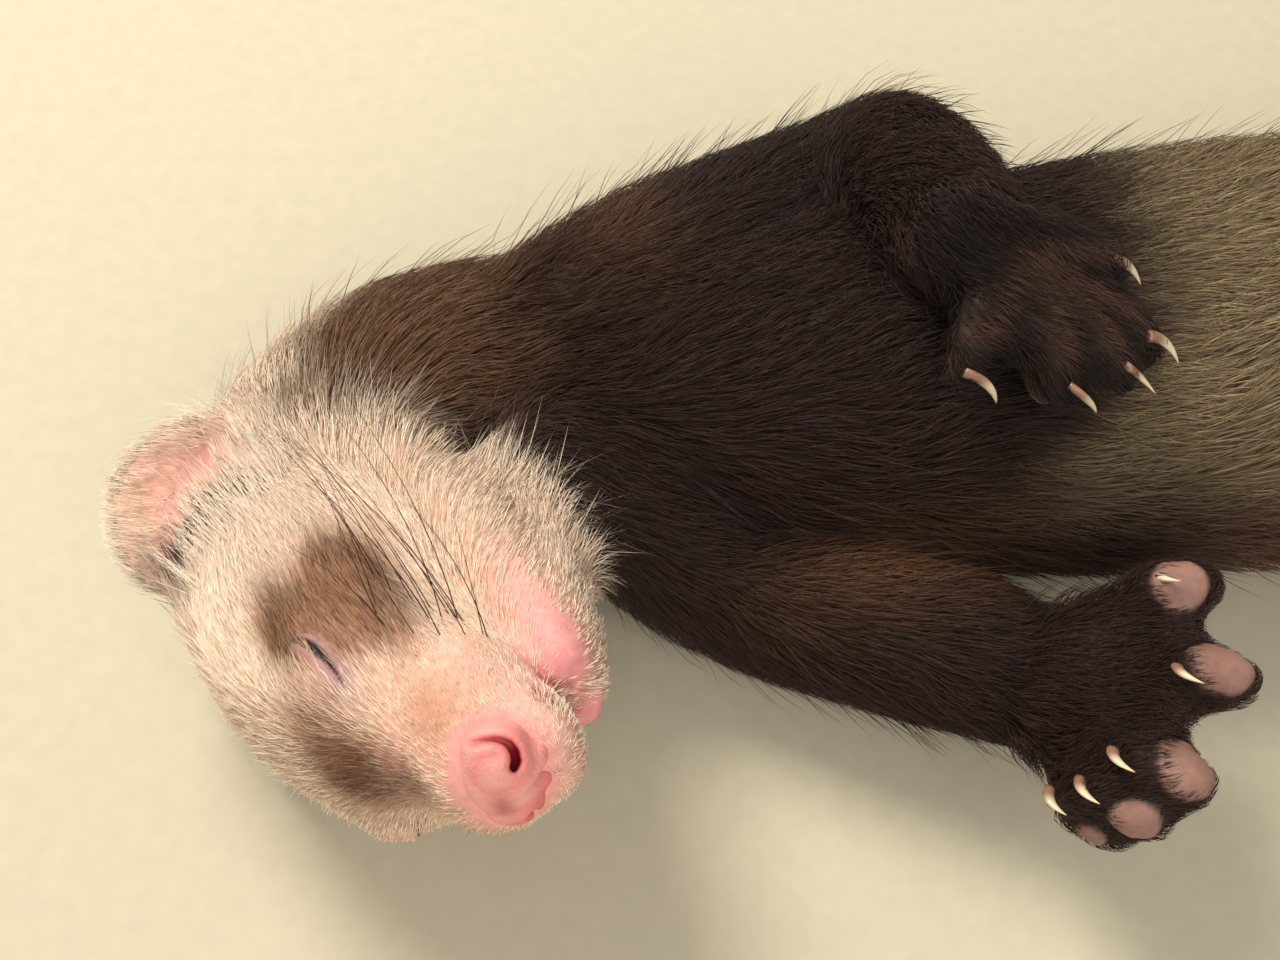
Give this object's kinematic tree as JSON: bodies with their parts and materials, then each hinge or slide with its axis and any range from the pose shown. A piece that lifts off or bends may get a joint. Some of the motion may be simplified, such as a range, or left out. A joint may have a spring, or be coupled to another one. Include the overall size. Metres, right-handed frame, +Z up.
{
  "type": "ferret",
  "caption": "Life-size ferret asleep on its back, head curled round to one side, forelegs laid back over the belly, hind legs splayed and tail on the floor.",
  "frame": {"origin": "middle of the footprint of the whole animal, on the floor", "axes": "+X from the head towards the tail, +Y towards the animal's left side, +Z up"},
  "size_m": [0.4096, 0.1528, 0.0651],
  "materials": {
    "face_fur": "short cream fur with brown patches round the eyes",
    "neck_fur": "cream underfur with brown guard hairs",
    "dark_fur": "dense dark brown fur",
    "belly_fur": "thin grey-buff underfur with sparse dark guard hairs",
    "nose_skin": "moist pink skin",
    "ear_skin": "thin pink skin with fine hair",
    "eye": "wet, dark, under closed lids",
    "claw": "translucent ivory horn"
  },
  "bodies": {
    "root": {"belly": "belly_fur", "chest": "dark_fur", "ear_left": "ear_skin", "ear_right": "ear_skin", "eye_left": "eye", "eye_right": "eye", "forearm_left": "dark_fur", "forearm_right": "dark_fur", "forepaw_left": "dark_fur", "forepaw_left_claw_1": "claw", "forepaw_left_claw_2": "claw", "forepaw_left_claw_3": "claw", "forepaw_left_claw_4": "claw", "forepaw_left_claw_5": "claw", "forepaw_right": "dark_fur", "forepaw_right_claw_1": "claw", "forepaw_right_claw_2": "claw", "forepaw_right_claw_3": "claw", "forepaw_right_claw_4": "claw", "forepaw_right_claw_5": "claw", "head": "face_fur", "hindfoot_left": "dark_fur", "hindfoot_left_claw_1": "claw", "hindfoot_left_claw_2": "claw", "hindfoot_left_claw_3": "claw", "hindfoot_left_claw_4": "claw", "hindfoot_left_claw_5": "claw", "hindfoot_right": "dark_fur", "hindfoot_right_claw_1": "claw", "hindfoot_right_claw_2": "claw", "hindfoot_right_claw_3": "claw", "hindfoot_right_claw_4": "claw", "hindfoot_right_claw_5": "claw", "hips": "belly_fur", "lower_jaw": "face_fur", "neck_base": "neck_fur", "neck_front": "neck_fur", "nose_pad": "nose_skin", "shank_left": "dark_fur", "shank_right": "dark_fur", "tail_1": "dark_fur", "tail_2": "dark_fur", "tail_3": "dark_fur", "thigh_left": "dark_fur", "thigh_right": "dark_fur", "upper_arm_left": "dark_fur", "upper_arm_right": "dark_fur"}
  },
  "joints": []
}
